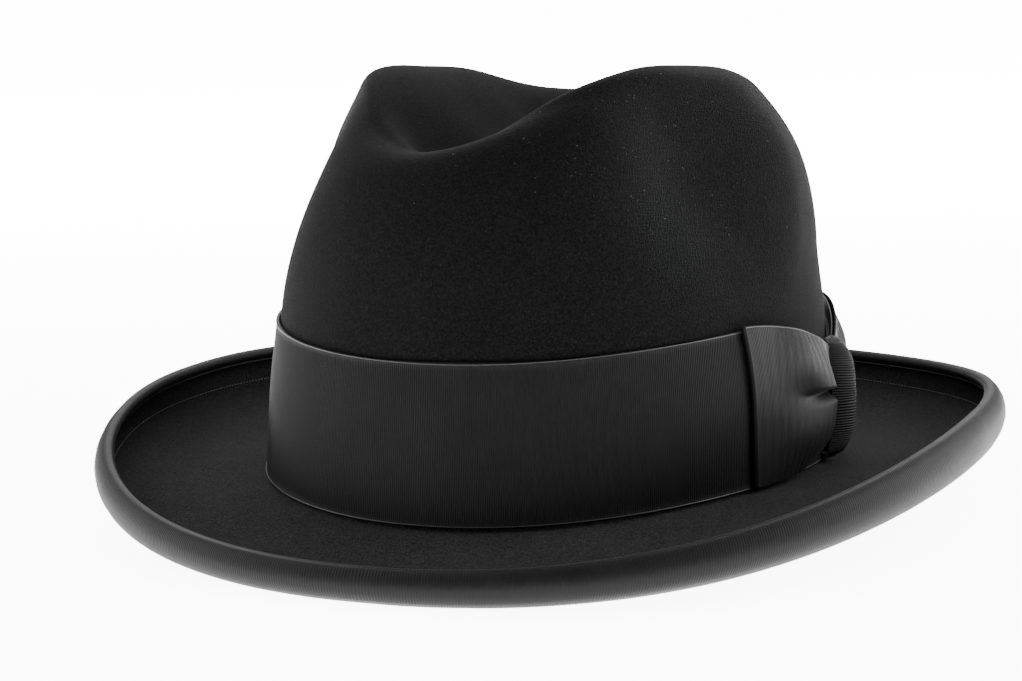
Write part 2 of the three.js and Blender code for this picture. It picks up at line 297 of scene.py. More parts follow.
def on_brim(section, t):
    """The brim between the break and the curl, as a curve that keeps both of their slopes."""
    out_a = BREAK_RADIUS * (1 + np.sin(section.leave))
    up_a = -BREAK_RADIUS * np.cos(section.leave)
    out_b = section.out + section.radius * np.sin(section.arrive)
    up_b = section.up - section.radius * np.cos(section.arrive)
    span = np.hypot(out_b - out_a, up_b - up_a)
    start, start_slope = 2 * t**3 - 3 * t**2 + 1, t**3 - 2 * t**2 + t
    end, end_slope = 3 * t**2 - 2 * t**3, t**3 - t**2
    out = start * out_a + end * out_b
    out = out + span * (start_slope * np.cos(section.leave) + end_slope * np.cos(section.arrive))
    up = start * up_a + end * up_b
    up = up + span * (start_slope * np.sin(section.leave) + end_slope * np.sin(section.arrive))
    return in_section(section, out, up)


def outer_face(place, angle):
    """The hood's outer face, from the crown's centre over the break and the brim to the felt's edge."""
    place, angle = np.broadcast_arrays(place, angle)
    section = brim_section(angle)
    crown = dented(crown_block(np.clip(CROWN_END - place, 0, CROWN_END), angle))
    turn = lerp(-np.pi, section.leave - np.pi / 2, np.clip(place - CROWN_END, 0, 1))
    fold = in_section(section, BREAK_RADIUS * (1 + np.cos(turn)), BREAK_RADIUS * np.sin(turn))
    brim = on_brim(section, np.clip(place - BREAK_END, 0, 1))
    turn = lerp(section.arrive - np.pi / 2, section.end, np.clip(place - BRIM_END, 0, 1))
    curl = on_curl(section, 0, turn)
    place = place[..., None]
    rest = np.where(place <= BRIM_END, brim, curl)
    rest = np.where(place <= BREAK_END, fold, rest)
    return np.where(place <= CROWN_END, crown, rest)


NUDGE = 1e-3
WALL_TOP_ROW = 4
HALVINGS = 22
MERGE_DISTANCE = 1e-7


def outward(place, angle):
    """The outer face's direction: up on the brim, and away from the head on the crown."""
    at = np.clip(place, NUDGE, EDGE_END - NUDGE)
    down = outer_face(at + NUDGE, angle) - outer_face(at - NUDGE, angle)
    side = outer_face(at, angle + NUDGE) - outer_face(at, angle - NUDGE)
    n = np.cross(down, side)
    return n / np.linalg.norm(n, axis=-1)[..., None]


def offset_face(place, angle, distance):
    """A face that lies a distance outside the hood's outer face."""
    n = np.where(np.asarray(place)[..., None] <= 0, np.array((0.0, 0.0, 1.0)), outward(place, angle))
    return outer_face(place, angle) + n * np.asarray(distance)[..., None]


def wall_place(angle, rise):
    """The place on the crown's wall that lies a given height above its base, found by halving."""
    low = np.zeros(np.broadcast(angle, rise).shape)
    high = low + WALL_TOP_ROW
    base = crown_block(0 * low, angle)[..., 2]
    for _ in range(HALVINGS):
        middle = (low + high) / 2
        under = crown_block(middle, angle)[..., 2] - base < rise
        low = np.where(under, middle, low)
        high = np.where(under, high, middle)
    return CROWN_END - low


def at_rest(points):
    """From the hat's own frame, where the band's lower edge is level, to where it rests, in metres."""
    turn = np.array(Matrix.Rotation(REST_TIP * DEG, 3, "X"))
    points = points @ turn.T + np.array(REST_SHIFT)
    points[..., 2] = np.maximum(points[..., 2], 0)
    return points * MM


def in_scene(name, data):
    """A new object, linked to the scene."""
    thing = bpy.data.objects.new(name, data)
    bpy.context.scene.collection.objects.link(thing)
    return thing


def finished(name, mesh, material, slot, *replaced):
    """A shaped mesh becomes a piece of the hat, in place of the solids that it replaces."""
    bm = bmesh.new()
    bm.from_mesh(mesh)
    bmesh.ops.remove_doubles(bm, verts=bm.verts, dist=MERGE_DISTANCE)
    bmesh.ops.recalc_face_normals(bm, faces=bm.faces)
    for face in bm.faces:
        face.smooth = True
    bm.to_mesh(mesh)
    bm.free()
    mesh.materials.append(material)
    piece = in_scene(name, mesh)
    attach(piece, "root")
    if replaced:
        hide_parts(*replaced)
    return piece


def thickened(piece, thickness, offset):
    """Gives a ribbon its thickness: an offset of 0 keeps the sheet in its middle, -1 on its outside."""
    wall = piece.modifiers.new("ribbon", "SOLIDIFY")
    wall.thickness = thickness * MM
    wall.offset = offset


def moved(bm, name, place):
    """Writes a bmesh to a mesh whose vertices are placed by a function of where they were."""
    mesh = bpy.data.meshes.new(name)
    bm.to_mesh(mesh)
    bm.free()
    co = np.zeros(len(mesh.vertices) * 3)
    mesh.vertices.foreach_get("co", co)
    points = at_rest(place(co.reshape(-1, 3)))
    mesh.vertices.foreach_set("co", points.astype(np.float32).ravel())
    mesh.update()
    return mesh


def ring(name, count, steps, closed, place):
    """A grid that is bent into a ring: each point is placed by its number up the grid and its angle."""
    bm = bmesh.new()
    rows = count if closed else count - 1
    bmesh.ops.create_grid(bm, x_segments=steps, y_segments=rows, size=0.5)

    def by_angle(co):
        index = np.round((co[:, 1] + 0.5) * rows).astype(int) % count
        step = np.round((co[:, 0] + 0.5) * steps) % steps
        return place(index, step * 2 * np.pi / steps)

    return moved(bm, name, by_angle)


def sheet(name, across_steps, up_steps, place):
    """A grid whose points are placed by their shares, from 0 to 1, along it and up it."""
    bm = bmesh.new()
    bmesh.ops.create_grid(bm, x_segments=across_steps, y_segments=up_steps, size=0.5)
    return moved(bm, name, lambda co: place(co[:, 0] + 0.5, co[:, 1] + 0.5))


def ribs(phase):
    """Rounded ribs of woven grosgrain, from 0 between two ribs to 1 on one, once for each whole phase."""
    return (0.5 + 0.5 * np.cos(2 * np.pi * phase)) ** RIB_ROUNDNESS


# Materials


class Wire:
    """A node's output: a sum or a product with it adds a Math node."""

    def __init__(self, finish, socket):
        self.finish = finish
        self.socket = socket

    def __add__(self, other):
        return self.finish.math("ADD", self, other)

    def __mul__(self, other):
        return self.finish.math("MULTIPLY", self, other)


class Finish:
    """A material with one Principled shader, whose plain inputs are given by name."""

    def __init__(self, name, **plain):
        self.material = bpy.data.materials.new(name)
        self.material.use_nodes = True
        self.tree = self.material.node_tree
        self.shader = self.tree.nodes["Principled BSDF"]
        for key, value in plain.items():
            self.shader.inputs[key.replace("_", " ")].default_value = value

    def node(self, kind, settings=None, inputs=None, output=0):
        """A new node's output: each input is a number, a colour or another node's output."""
        node = self.tree.nodes.new(kind)
        for key, value in (settings or {}).items():
            setattr(node, key, value)
        for key, value in (inputs or {}).items():
            self.feed(self.socket(node.inputs, key), value)
        return Wire(self, self.socket(node.outputs, output))

    def socket(self, sockets, key):
        if isinstance(key, int):
            return sockets[key]
        return next(s for s in sockets if key in (s.identifier, s.name))

    def feed(self, socket, value):
        if isinstance(value, Wire):
            self.tree.links.new(value.socket, socket)
        else:
            socket.default_value = value

    def math(self, operation, *values):
        return self.node("ShaderNodeMath", {"operation": operation}, dict(enumerate(values)))

    def between(self, low, high, value):
        """From 0 to 1 as a value goes from low to high."""
        return self.node(
            "ShaderNodeMapRange", {"interpolation_type": "SMOOTHSTEP"},
            {"Value": value, "From Min": low, "From Max": high},
        )

    def blend(self, factor, a, b):
        return self.node(
            "ShaderNodeMix", {"data_type": "RGBA"},
            {"Factor_Float": factor, "A_Color": a, "B_Color": b}, "Result_Color",
        )

    def coordinates(self):
        return self.node("ShaderNodeTexCoord", output="Object")

    def noise(self, size, detail=2.0):
        """Noise with grains of about this size in millimetres."""
        return self.node(
            "ShaderNodeTexNoise", None,
            {"Vector": self.coordinates(), "Scale": 1 / (size * MM), "Detail": detail},
        )

    def bump(self, height, relief, strength):
        """A Bump node on the shader's normal: relief is in millimetres."""
        normal = self.node(
            "ShaderNodeBump", None, {"Height": height, "Distance": relief * MM, "Strength": strength}
        )
        self.feed(self.shader.inputs["Normal"], normal)

    def set(self, key, value):
        self.feed(self.shader.inputs[key], value)


GREY_BLUE = 1.03
FLECK_SHARE = 0.2

# Heights above the floor in metres, between which the felt goes from the brim's tone, made paler with
# painted light, to the crown's
PAINTED_LIGHT_FULL_BELOW = 0.03
PAINTED_LIGHT_GONE_ABOVE = 0.062


def grey(value):
    """A grey that is very slightly blue."""
    return (value, value, value * GREY_BLUE, 1.0)


def fur_felt():
    """Nearly black fur felt with a fine grain and a few flecks, with painted light on the brim: paler there
    than on the crown.
    """
    felt = Finish(
        "fur_felt", Roughness=0.95, Specular_IOR_Level=0.015, Sheen_Weight=0.02, Sheen_Roughness=0.4
    )
    grain = felt.noise(0.6, detail=3.0)
    cloud = felt.noise(16.0)
    fleck = felt.between(0.69, 0.77, felt.noise(0.5, detail=0.0))
    tone = felt.between(0.3, 0.7, grain) * 0.9 + felt.between(0.3, 0.7, cloud) * 0.1
    crown = felt.blend(tone, grey(0.0012), grey(0.0047))
    # Painted light: the brim's paler greys stand in for the light that falls on it from above and at a
    # graze.
    brim = felt.blend(tone, grey(0.0035), grey(0.0165))
    height = felt.node("ShaderNodeSeparateXYZ", None, {"Vector": felt.coordinates()}, "Z")
    colour = felt.blend(felt.between(PAINTED_LIGHT_GONE_ABOVE, PAINTED_LIGHT_FULL_BELOW, height), crown, brim)
    felt.set("Base Color", felt.blend(fleck * FLECK_SHARE, colour, grey(0.02)))
    felt.bump(grain * 0.7 + felt.noise(0.3, detail=1.0) * 0.3, relief=0.32, strength=0.9)
    return felt.material


def grosgrain(name, light):
    """Woven ribbon with a faint gloss, whose ribs are in its shape."""
    ribbon = Finish(name, Specular_IOR_Level=0.065, Sheen_Weight=0.022, Sheen_Roughness=0.35)
    thread = ribbon.noise(0.3, detail=1.0)
    cloud = ribbon.noise(9.0)
    tone = ribbon.between(0.3, 0.7, thread) * 0.6 + ribbon.between(0.3, 0.7, cloud) * 0.4
    ribbon.set("Base Color", ribbon.blend(tone, grey(0.6 * light), grey(1.5 * light)))
    gloss = {"Value": cloud, "To Min": 0.44, "To Max": 0.54}
    ribbon.set("Roughness", ribbon.node("ShaderNodeMapRange", None, gloss))
    ribbon.bump(thread, relief=0.05, strength=0.6)
    return ribbon.material


def sewing_thread(name, dark, light):
    """Thread and lint, and the selvedge cords with their painted highlight, between a dark and a light
    grey.
    """
    thread = Finish(name, Specular_IOR_Level=0.3, Roughness=0.5)
    thread.set("Base Color", thread.blend(thread.noise(0.3), grey(dark), grey(light)))
    return thread.material


# Felt hood, band and binding

HOOD_STEPS = 352
CROWN_STOPS = np.linspace(0, CROWN_END, 92)
BREAK_STOPS = np.linspace(CROWN_END, BREAK_END, 7)[1:]
BRIM_STOPS = np.linspace(BREAK_END, BRIM_END, 26)[1:]
CURL_STOPS = np.linspace(BRIM_END, EDGE_END, 14)[1:]
OUTER_STOPS = np.concatenate([CROWN_STOPS, BREAK_STOPS, BRIM_STOPS, CURL_STOPS])
INNER_STOPS = np.concatenate([CROWN_STOPS[::2], BREAK_STOPS[1::2], BRIM_STOPS[1::2], CURL_STOPS[::2]])[::-1]
EVEN_FROM = CROWN_END - 3.2
EVEN_TO = CROWN_END - 2.4


def blocked_unevenly(points):
    """The small unevenness that blocking by hand leaves on felt, in millimetres."""
    x, y, z = points[..., 0], points[..., 1], points[..., 2]
    broad = UNEVEN_BROAD * np.sin(x / 13 + y / 21 + 1.3) * np.sin(z / 17 - y / 29)
    return broad + UNEVEN_FINE * np.sin(y / 7.3 + z / 9.1 + x / 11)


def on_felt(at, angle, height):
    """A height above the felt's outer face, which is uneven on the crown above the band."""
    crown = 1 - smooth(EVEN_FROM, EVEN_TO, at)
    wobble = blocked_unevenly(outer_face(at, angle)) * crown * smooth(0, 0.5, at)
    return offset_face(at, angle, wobble + height)


def make_hood(felt):
    stops = np.concatenate([OUTER_STOPS, INNER_STOPS])
    inner = np.arange(len(stops)) >= len(OUTER_STOPS)

    def place(index, angle):
        return on_felt(stops[index], angle, -FELT_WALL * inner[index])

    mesh = ring("felt_hood_fine", len(stops), HOOD_STEPS, False, place)
    finished("felt_hood_fine", mesh, felt, "fur_felt", "felt_hood")


BAND_ROWS = 18
EDGE_ROWS = np.array([0.0, 0.01, 0.022, 0.036])
NEXT_ROW = 0.06


def woven_rows(count):
    """Shares of a ribbon's width, closest together along its two selvedges."""
    middle = np.linspace(NEXT_ROW, 1 - NEXT_ROW, count - 2 * len(EDGE_ROWS))
    return np.concatenate([EDGE_ROWS, middle, 1 - EDGE_ROWS[::-1]])


def selvedge(width, reach):
    """A fine cord along each edge of a ribbon, 1 on it and 0 beyond its reach."""
    side = np.minimum(width, 1 - width)
    return bell((side - reach / 2) / (reach / 2))


def band_top(angle):
    """The height of the band's upper edge, which is drawn down behind the bow."""
    along = np.abs(angle - BOW_PLACE * DEG) * BOW_RADIUS
    return BAND_WIDTH - BAND_DIP * np.maximum(0, 1 - along / BAND_DIP_REACH) ** 1.5


def on_wall(angle, rise, out):
    """A point a height above the crown's base and a distance out from the felt of its wall."""
    return offset_face(wall_place(angle, rise), angle, out)


def ribbed(angle, count, cord, fade):
    """How far a ribbon's face stands out: its selvedges are raised, and the ribs are flatter there."""
    rib = RIB_RELIEF * (ribs(angle * count / (2 * np.pi)) - 1)
    return rib * (1 - fade * cord) + SELVEDGE_RELIEF * cord


def make_band(ribbon):
    width = woven_rows(BAND_ROWS)
    outer = np.stack([width, np.ones_like(width)], 1)
    rim = np.array([(1.0, 0.5), (1.0, 0.0)])
    back = np.array([(0.5, 0.0), (0.0, 0.0), (0.0, 0.5)])
    section = np.concatenate([outer, rim, back])
    girth = 2 * math.pi * math.sqrt((CROWN_HALF_LENGTH**2 + CROWN_HALF_WIDTH**2) / 2)
    count = round(girth / BAND_RIB)

    def place(index, angle):
        width, depth = section[index].T
        wave = BAND_WAVE * np.sin(5 * angle + 1) + BAND_WAVELET * np.sin(11 * angle)
        rise = width * (band_top(angle) + wave)
        pull = BAND_PULL * np.sin(7 * angle + 4 * width)
        relief = ribbed(angle, count, selvedge(width, BAND_SELVEDGE), BAND_RIB_FADE)
        return on_wall(angle, rise, RIBBON_GAP + (BAND_THICKNESS + pull) * depth + relief * (depth > 0.9))

    mesh = ring("hat_band_ribbed", len(section), count * RIB_STEPS, True, place)
    finished("hat_band_ribbed", mesh, ribbon, "grosgrain_ribbon", "hat_band")


def make_cord(name, thread, steps, place):
    """A closed selvedge cord, whose paler grey is a painted highlight: place gives a point at an angle,
    some way across it and some way out.
    """

    def round_it(index, angle):
        turn = index * 2 * np.pi / CORD_SIDES
        return place(angle, CORD_RADIUS * np.cos(turn), CORD_RADIUS * np.sin(turn))

    mesh = ring(name, CORD_SIDES, steps, True, round_it)
    finished(name, mesh, thread, "grosgrain_ribbon")


def on_band_edge(angle, over, out):
    rise = band_top(angle) - CORD_INSET + over
    return on_wall(angle, rise, RIBBON_GAP + BAND_THICKNESS + CORD_LIFT + out)


def on_band_foot(angle, over, out):
    return on_wall(angle, CORD_FOOT_INSET + over, RIBBON_GAP + BAND_THICKNESS + CORD_LIFT + out)


# Places along the binding's run, from its lower selvedge: up the curl's outside to 1, over the felt's
# edge to 2 and down its inside to 3
BINDING_OUTSIDE, BINDING_OVER, BINDING_INSIDE = 1.0, 2.0, 3.0
BINDING_ROWS = np.array([0, 0.025, 0.06, 0.12, 0.25, 0.4, 0.55, 0.7, 0.85, 1.0, 1.33, 1.67, 2.0, 2.5, 3.0])
BINDING_BACK = np.array([3.0, 2.0, 1.5, 1.0, 0.5, 0.0])
LOWER_SELVEDGE, LOWER_SELVEDGE_REACH = 0.025, 0.04
INNER_SELVEDGE_REACH = 0.4
SEAM_INSET = 1.1


def selvedge_turn(section):
    """The turn round the curl at which the binding's lower selvedge lies."""
    return section.end - BINDING_WIDTH / (section.radius + FELT_WALL + RIBBON_GAP)


def over_edge(section, run, beyond):
    """A point over the brim's edge, by its run along the binding and its distance beyond the felt."""
    outer_turn = lerp(selvedge_turn(section), section.end, np.clip(run, 0, 1))
    outside = on_curl(section, FELT_WALL + beyond, outer_turn)
    turn = section.end + np.pi * np.clip(run - BINDING_OUTSIDE, 0, 1)
    over = FELT_WALL / 2 + beyond
    middle = on_curl(section, FELT_WALL / 2, section.end)
    top = middle + section.direction * (over * np.cos(turn))[..., None]
    top = top + across(0 * turn, 0 * turn, over * np.sin(turn))
    leg = np.clip(run - BINDING_OVER, 0, 1) * BINDING_INNER_LEG / section.radius
    inside = on_curl(section, -beyond, section.end - leg)
    run = run[..., None]
    return np.where(run <= BINDING_OUTSIDE, outside, np.where(run <= BINDING_OVER, top, inside))


def make_binding(ribbon):
    outer = np.stack([BINDING_ROWS, np.ones_like(BINDING_ROWS)], 1)
    back = np.stack([BINDING_BACK, np.zeros_like(BINDING_BACK)], 1)
    section = np.concatenate([outer, back])
    length = 2 * CROWN_HALF_LENGTH + BRIM_FRONT + BRIM_BACK
    width = 2 * (CROWN_HALF_WIDTH + BRIM_SIDE)
    girth = math.pi * (length + width) / 2
    count = round(girth / BINDING_RIB)

    def place(index, angle):
        run, depth = section[index].T
        lower = bell((run - LOWER_SELVEDGE) / LOWER_SELVEDGE_REACH)
        cord = lower + bell((run - BINDING_INSIDE) / INNER_SELVEDGE_REACH)
        relief = ribbed(angle, count, cord, BINDING_RIB_FADE)
        return over_edge(brim_section(angle), run, RIBBON_GAP + (BINDING_THICKNESS + relief) * depth)

    mesh = ring("brim_binding_ribbed", len(section), count * RIB_STEPS, True, place)
    finished("brim_binding_ribbed", mesh, ribbon, "grosgrain_ribbon", "brim_binding")


def on_binding_edge(angle, over, out):
    section = brim_section(angle)
    turn = selvedge_turn(section) + (CORD_INSET + over) / section.radius
    return on_curl(section, FELT_WALL + RIBBON_GAP + BINDING_THICKNESS + out, turn)


def on_binding_inner_edge(angle, over, out):
    section = brim_section(angle)
    turn = section.end - (BINDING_INNER_LEG - CORD_RADIUS + over) / section.radius
    return on_curl(section, -RIBBON_GAP - BINDING_THICKNESS - CORD_LIFT + out, turn)


# Stitches and lint

SEAM_SAMPLES = 1441
STITCH_PITCH = 1.6
STITCH_RISE = 0.1
LINT_COUNT = 560
LINT_SEED = 7
LINT_LEFT_SHARE = 0.7
LINT_LEFT_PLACE, LINT_LEFT_SPREAD = 1.0, 0.7
LINT_ANGLE_END = 3.1
LINT_CROWN_SHARE = 0.75
LINT_LIFT = 0.05
LINT_THICKNESS = 0.1
LINT_SHORTEST = 0.12
LINT_SPREAD = 0.25
LINT_LONGEST = 1.4


def make_slivers(name, material, slot, centre, along, above, length, thickness):
    """Short threads on a face: one at each centre, pointing along, with the face's outside above."""
    bm = bmesh.new()
    sizes = np.broadcast_to(length, len(centre))
    for c, a, n, span in zip(centre, along, above, sizes):
        size = Matrix.Diagonal((span * MM / 2, thickness * MM / 2, thickness * MM / 2, 1.0))
        forward = Vector(a).normalized()
        side = Vector(n).cross(forward).normalized()
        turn = Matrix((forward, side, forward.cross(side))).transposed().to_4x4()
        matrix = Matrix.Translation(Vector(c)) @ turn @ size
        bmesh.ops.create_icosphere(bm, subdivisions=1, radius=1.0, matrix=matrix)
    for vertex in bm.verts:
        vertex.co.z = max(vertex.co.z, 0.0)
    mesh = bpy.data.meshes.new(name)
    bm.to_mesh(mesh)
    bm.free()
    finished(name, mesh, material, slot)


def make_stitches(name, thread, slot, angles, on_face, length, thickness):
    """Short stitches at angles round the hat, along a seam that on_face places at a height above it."""
    centre = at_rest(on_face(angles, STITCH_RISE * thickness))
    along = at_rest(on_face(angles + NUDGE, STITCH_RISE * thickness)) - centre
    above = at_rest(on_face(angles, 1.0)) - centre
    make_slivers(name, thread, slot, centre, along, above, length, thickness)


def make_lint(lint, count, seed):
    """Specks and short fibres of lint on the felt, most of them on the wearer's left."""
    chance = np.random.default_rng(seed)
    on_left = chance.random(count) < LINT_LEFT_SHARE
    left = chance.normal(LINT_LEFT_PLACE, LINT_LEFT_SPREAD, count)
    anywhere = chance.uniform(-LINT_ANGLE_END, LINT_ANGLE_END, count)
    angle = np.where(on_left, left, anywhere)
    crown = chance.uniform(1.0, CROWN_END - 3.0, count)
    brim = chance.uniform(BREAK_END + 0.15, BRIM_END, count)
    at = np.where(chance.random(count) < LINT_CROWN_SHARE, crown, brim)
    bearing = chance.uniform(0, np.pi, count)
    centre = at_rest(on_felt(at, angle, LINT_LIFT))
    down = at_rest(on_felt(at + NUDGE, angle, LINT_LIFT)) - centre
    side = at_rest(on_felt(at, angle + NUDGE, LINT_LIFT)) - centre
    down, side = (v / np.linalg.norm(v, axis=1)[:, None] for v in (down, side))
    along = down * np.cos(bearing)[:, None] + side * np.sin(bearing)[:, None]
    length = np.minimum(chance.exponential(LINT_SPREAD, count) + LINT_SHORTEST, LINT_LONGEST)
    make_slivers("lint", lint, "fur_felt", centre, along, np.cross(down, side), length, LINT_THICKNESS)


def on_binding_seam(angle, height):
    """A height above the binding's face, along the seam near its lower selvedge."""
    section = brim_section(angle)
    run = np.full_like(angle, SEAM_INSET / BINDING_WIDTH)
    return over_edge(section, run, RIBBON_GAP + BINDING_THICKNESS + height)


def on_brim_seam(angle, height):
    """A height above the brim's upper face, where the binding's seam comes through the felt."""
    section = brim_section(angle)
    turn = selvedge_turn(section) + SEAM_INSET / (section.radius + FELT_WALL + RIBBON_GAP)
    return on_curl(section, -height, turn)


def round_the_brim(pitch):
    """Angles of stitches that are evenly spaced along the brim's edge."""
    angle = np.linspace(0, 2 * np.pi, SEAM_SAMPLES)
    section = brim_section(angle)
    path = on_curl(section, 0, section.end)
    run = np.concatenate([[0], np.cumsum(np.linalg.norm(np.diff(path, axis=0), axis=1))])
    count = round(run[-1] / pitch)
    return np.interp((np.arange(count) + 0.5) / count * run[-1], run, angle)


# Bow

LEAF_LAYER = 0.6
LEAF_TURN = 0.02
LEAF_FOLD = 0.5
LEAF_START = 3.0
LEAF_FREE_HEIGHT = 1.9
LEAF_PEAK = 0.8
LEAF_OVERHANG = 1.3
LEAF_TOP_FALL = 14.5
LEAF_FOOT = 0.3
LEAF_FOOT_RISE = 10.0
LEAF_LAG = 8.0
LEAF_CORNER = 3.0
LEAF_CREASE = 0.53
LEAF_BACK_OUT = 0.5
LEAF_LAG_CURVE = 1.6
LEAF_TOP_CURVE = 1.5
LEAF_FOOT_CURVE = 2.5
LEAF_ROWS = 52
LEAF_CORD_STEPS = 240
LEAF_CORD_INSET = 0.008
LEAF_CORD_END = 0.95
UPPER_PUFF = 0.92
LOWER_PUFF = 0.27
PUFF_SPREAD_FREE = 0.34
PUFF_SPREAD_KNOT = 0.2
PUFF_FALL = 0.7


def on_band(along, rise, out):
    """A point on the band's face: along it from the bow's middle, up from its foot and out from it."""
    angle = BOW_PLACE * DEG + along / BOW_RADIUS
    return offset_face(wall_place(angle, rise), angle, RIBBON_GAP + BAND_THICKNESS + out)


def swell(t, up, crest, tucked):
    """The two puffs of a leaf, as shares of its full puff: t goes from the free fold to the knot."""
    spread = lerp(PUFF_SPREAD_FREE, PUFF_SPREAD_KNOT, t)
    upper = np.exp(-(((up - lerp(UPPER_PUFF, crest, t)) / spread) ** 2))
    lower = np.exp(-(((up - LOWER_PUFF) / spread) ** 2))
    soft = (upper**4 + lower**4) ** 0.25
    above = np.clip((up - LEAF_CREASE) / (1 - LEAF_CREASE), 0, 1)
    below = np.clip((LEAF_CREASE - up) / LEAF_CREASE, 0, 1)
    full = smooth(0, 0.07, above) * (1 - 0.85 * above) + smooth(0, 0.2, below) * (1 - below**5)
    return lerp(soft, full, smooth(0.35, 0.85, t)) * (1 - tucked * smooth(0.7, 1, up) ** 2)


def make_leaf(name, ribbon, thread, side, length, cocked, puff, crest, tucked, node):
    """A loop of ribbon, flat at its free fold, whose front is drawn into two puffs that end at the knot."""

    def leaf_point(t, up, front, fold, raised):
        lag = LEAF_LAG * np.abs(2 * (up - LEAF_CREASE)) ** LEAF_LAG_CURVE * smooth(0.1, 0.8, t)
        lag = lag * (1 - smooth(0.84, 1, t)) * front
        corner = LEAF_CORNER * up**5 * (1 - smooth(0, 0.25, t))
        along = lerp(length, LEAF_START, t) + lag
        gathered = np.clip(1 - along / length, 0, 1)
        lifted = cocked * (1 - gathered)
        top = BAND_WIDTH + LEAF_OVERHANG + lifted - LEAF_TOP_FALL * gathered**LEAF_TOP_CURVE
        bottom = LEAF_FOOT + lifted + LEAF_FOOT_RISE * gathered**LEAF_FOOT_CURVE
        puffed = puff * smooth(0, LEAF_PEAK, t) * (1 - PUFF_FALL * smooth(LEAF_PEAK + 0.04, 0.95, t))
        out = lerp(LEAF_BACK_OUT + LEAF_LAYER / 2, LEAF_FREE_HEIGHT, (1 + np.sin(fold)) / 2)
        out = out + puffed * swell(t, up, crest, tucked) * front
        along = along + LEAF_FOLD * np.cos(fold) + corner
        return on_band(side * along, lerp(bottom, top, up), out + raised)

    def place(run, v):
        up = np.interp(v, (0, 0.12, 0.88, 1), (0, 0.05, 0.95, 1))
        front = run > 0.5
        t = np.clip((np.abs(run - 0.5) - LEAF_TURN) / (0.5 - LEAF_TURN), 0, 1)
        fold = np.clip((run - 0.5) / LEAF_TURN, -1, 1) * np.pi / 2
        return leaf_point(t, up, front, fold, LEAF_RIB_RELIEF * ribs(t * length / BAND_RIB) * front)

    def cord(run, v):
        turn = 2 * np.pi * v
        up = 1 - LEAF_CORD_INSET + CORD_RADIUS / BAND_WIDTH * np.cos(turn)
        raised = LEAF_LAYER / 2 + CORD_RADIUS * np.sin(turn)
        return leaf_point(LEAF_CORD_END * run, up, 1.0, np.pi / 2, raised)

    # The leaf's selvedge cord stands out for real; its paler grey is a painted highlight.
    edge_name = name + "_selvedge"
    edge_mesh = sheet(edge_name, LEAF_CORD_STEPS, CORD_SIDES, cord)
    finished(edge_name, edge_mesh, thread, "grosgrain_ribbon")
    count = round(length / BAND_RIB)
    mesh = sheet(name, count * 2 * RIB_STEPS, LEAF_ROWS, place)
    piece = finished(name, mesh, ribbon, "grosgrain_ribbon", node)
    thickened(piece, LEAF_LAYER, 0)


KNOT_LAYER = 1.2
KNOT_WRAP = 0.08
KNOT_FOOT = 0.9
KNOT_EDGE_RISE = 2.8
KNOT_EDGE_ARCH = 1.2
KNOT_CREST_ARCH = 0.58
KNOT_ROUNDNESS = 1.7
KNOT_WAIST = 0.08
KNOT_FOOT_TUCK = 8.0
KNOT_RIB_RELIEF = 1.8 * RIB_RELIEF
KNOT_GIRTH = KNOT_HEIGHT + 1.3 * KNOT_RISE
KNOT_ROWS, KNOT_STEPS = 28, 360


def make_knot(ribbon):
    """A strap of ribbon, rounded over, that is drawn tight over the gathered middle of the bow."""

    def place(width, turn):
        angle = np.pi * lerp(-KNOT_WRAP, 1 + KNOT_WRAP, turn)
        lift, under = np.maximum(np.sin(angle), 0), np.maximum(-np.sin(angle), 0)
        rise = BAND_WIDTH / 2 - KNOT_DROP - np.cos(angle) * KNOT_HEIGHT / 2
        edge = KNOT_FOOT + KNOT_EDGE_RISE * lift**KNOT_EDGE_ARCH
        crest = np.maximum(KNOT_FOOT + (KNOT_RISE - KNOT_FOOT) * lift**KNOT_CREST_ARCH, edge)
        share = np.interp(width, (0, 0.15, 0.85, 1), (-1, -0.9, 0.9, 1))
        out = lerp(edge, crest, 1 - np.abs(share) ** KNOT_ROUNDNESS) - KNOT_FOOT_TUCK * under
        relief = KNOT_RIB_RELIEF * ribs(turn * KNOT_GIRTH / BAND_RIB)
        return on_band(share * KNOT_WIDTH / 2 * (1 - KNOT_WAIST * lift), rise, out + relief)

    mesh = sheet("bow_knot_ribbed", KNOT_ROWS, KNOT_STEPS, place)
    piece = finished("bow_knot_ribbed", mesh, ribbon, "grosgrain_ribbon", "bow_knot")
    thickened(piece, KNOT_LAYER, -1)


# Stage, light and camera

# The floor and the lights are in metres. The floor's glow grows away from the camera.
FLOOR_HALF_SIZE = 12.0
FLOOR_PALE = (0.8, 0.8, 0.8, 1.0)
FLOOR_GLOW = (9.0, 9.0, 9.0, 1.0)
FLOOR_FAR_GLOW = (14.0, 14.0, 14.0, 1.0)
FLOOR_AWAY = (-0.395, 0.919, 0.0)
HAT_MIDDLE = Vector((0, 0, 0.07))


def make_floor():
    """A pale floor that glows, as in a light tent: little in front of the picture, and most far behind."""
    bm = bmesh.new()
    bmesh.ops.create_grid(bm, x_segments=1, y_segments=1, size=FLOOR_HALF_SIZE)
    mesh = bpy.data.meshes.new("floor")
    bm.to_mesh(mesh)
    bm.free()
    floor = in_scene("floor", mesh)
    paint = Finish("pale_floor", Base_Color=FLOOR_PALE, Roughness=0.9, Specular_IOR_Level=0.1)
    away = paint.node(
        "ShaderNodeVectorMath", {"operation": "DOT_PRODUCT"},
        {0: paint.coordinates(), 1: FLOOR_AWAY}, "Value",
    )
    near = paint.blend(paint.between(-0.5, -0.22, away), FLOOR_PALE, FLOOR_GLOW)
    paint.set("Emission Color", paint.blend(paint.between(0.1, 1.2, away), near, FLOOR_FAR_GLOW))
    paint.set("Emission Strength", 1.0)
    mesh.materials.append(paint.material)


